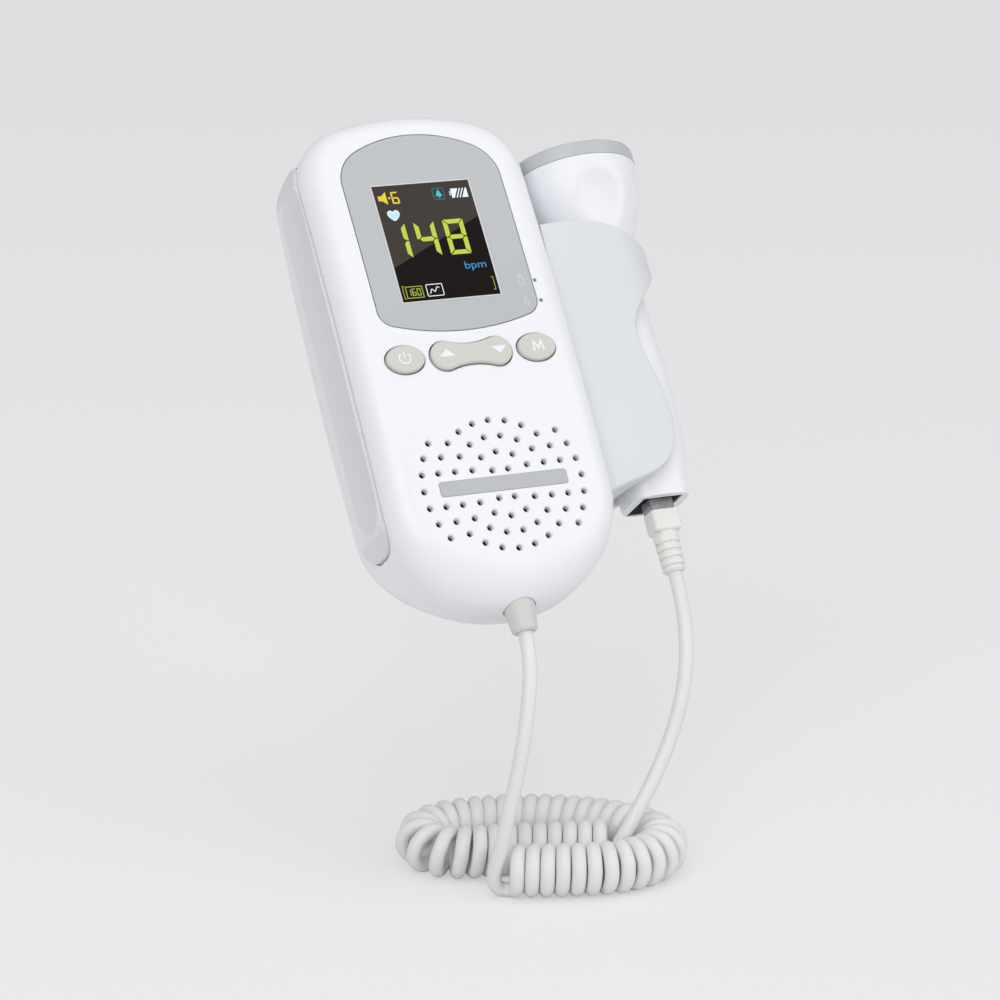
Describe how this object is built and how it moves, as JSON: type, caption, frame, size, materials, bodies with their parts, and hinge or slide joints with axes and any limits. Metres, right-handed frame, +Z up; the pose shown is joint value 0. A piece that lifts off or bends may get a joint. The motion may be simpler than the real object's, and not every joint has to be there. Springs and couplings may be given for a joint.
{
  "type": "fetal doppler monitor",
  "caption": "Hand-held heartbeat listening unit with screen, keys and speaker, a clip-on holster, an ultrasound probe on a plug, and a curly lead.",
  "frame": {"origin": "the point on the back of the main unit where the palm holds it, on the unit's middle plane", "axes": "+Z up as the unit is held, X across its face towards the holster, Y from the face to the back; the unit leans back about 35 degrees, so its face looks forward (-Y) and up"},
  "size_m": [0.115, 0.1464, 0.2119],
  "materials": {
    "shell_white": "smooth white moulding with a soft sheen",
    "grip_grey": "fine-grained soft grip",
    "window_plastic": "polished clear lens printed grey round the dark display",
    "display": "black colour display",
    "board": "green solder mask",
    "switch_black": "black tact switches",
    "light_pipe": "clear light pipes",
    "key_grey": "warm grey keys with white signs",
    "steel": "plated steel",
    "speaker_paper": "black paper cone",
    "ferrite": "dark ferrite magnet",
    "badge_grey": "plain grey bar",
    "cell_jacket": "plain printed battery jacket",
    "spring_metal": "nickel-plated contacts",
    "gland_white": "moulded strain relief",
    "holster_grey": "light grey satin moulding",
    "probe_white": "smooth white moulding",
    "rim_grey": "grey ring",
    "face_plastic": "polished acoustic face",
    "crystal": "silvered ceramic",
    "backing": "black damping disc",
    "jack_black": "black socket block",
    "plug_clear": "clear polycarbonate",
    "contact_gold": "gold-plated blades",
    "boot_ivory": "ivory moulded boot",
    "cord_grey": "light grey soft vinyl"
  },
  "bodies": {
    "main_unit": {"front_shell": "shell_white", "rear_shell": "shell_white", "side_grip_panel": "grip_grey", "screen_window": "window_plastic", "display_module": "display", "main_board": "board", "key_switches": "switch_black", "indicator_lights": "light_pipe", "speaker_frame": "steel", "speaker_cone": "speaker_paper", "speaker_magnet": "ferrite", "speaker_badge": "badge_grey", "battery_cell_left": "cell_jacket", "battery_cell_right": "cell_jacket", "battery_contacts": "spring_metal", "case_screws": "steel", "cord_gland": "gland_white", "probe_holster": "holster_grey", "plug_body": "plug_clear", "plug_contacts": "contact_gold", "plug_boot": "boot_ivory", "cord_main_tail": "cord_grey", "cord_coil": "cord_grey", "cord_probe_tail": "cord_grey"},
    "power_key": {"power_button": "key_grey"},
    "volume_key": {"volume_rocker": "key_grey"},
    "mode_key": {"mode_button": "key_grey"},
    "battery_door": {"battery_cover": "shell_white"},
    "probe": {"probe_front_shell": "probe_white", "probe_rear_shell": "probe_white", "probe_rim_ring": "rim_grey", "probe_face": "face_plastic", "transmit_crystal": "crystal", "receive_crystal": "crystal", "backing_disc": "backing", "probe_board": "board", "probe_jack": "jack_black", "probe_screws": "steel"},
    "latch": {"plug_latch": "plug_clear"}
  },
  "joints": [
    {"name": "power_press", "type": "slide", "parent": "main_unit", "child": "power_key", "axis": [0, 0.7927, -0.6096], "range_m": [0, 0.0006], "stiffness_N_per_m": 900, "springref_m": -0.0003},
    {"name": "mode_press", "type": "slide", "parent": "main_unit", "child": "mode_key", "axis": [0, 0.7927, -0.6096], "range_m": [0, 0.0006], "stiffness_N_per_m": 900, "springref_m": -0.0003},
    {"name": "volume_tilt", "type": "hinge", "parent": "main_unit", "child": "volume_key", "pos_m": [0, -0.04197, 0.00385], "axis": [0, 0.6096, 0.7927], "range_deg": [-2.5, 2.5], "stiffness_Nm_per_rad": 0.2},
    {"name": "battery_door_swing", "type": "hinge", "parent": "main_unit", "child": "battery_door", "pos_m": [0, -0.01296, -0.01521], "axis": [-1, 0, 0], "range_deg": [0, 75]},
    {"name": "probe_lift", "type": "slide", "parent": "main_unit", "child": "probe", "axis": [0, 0.5746, 0.8185], "range_m": [0, 0.115]},
    {"name": "latch_flex", "type": "hinge", "parent": "main_unit", "child": "latch", "pos_m": [0.0574, -0.04656, -0.03647], "axis": [-1, 0, 0], "range_deg": [0, 7], "stiffness_Nm_per_rad": 0.12}
  ]
}
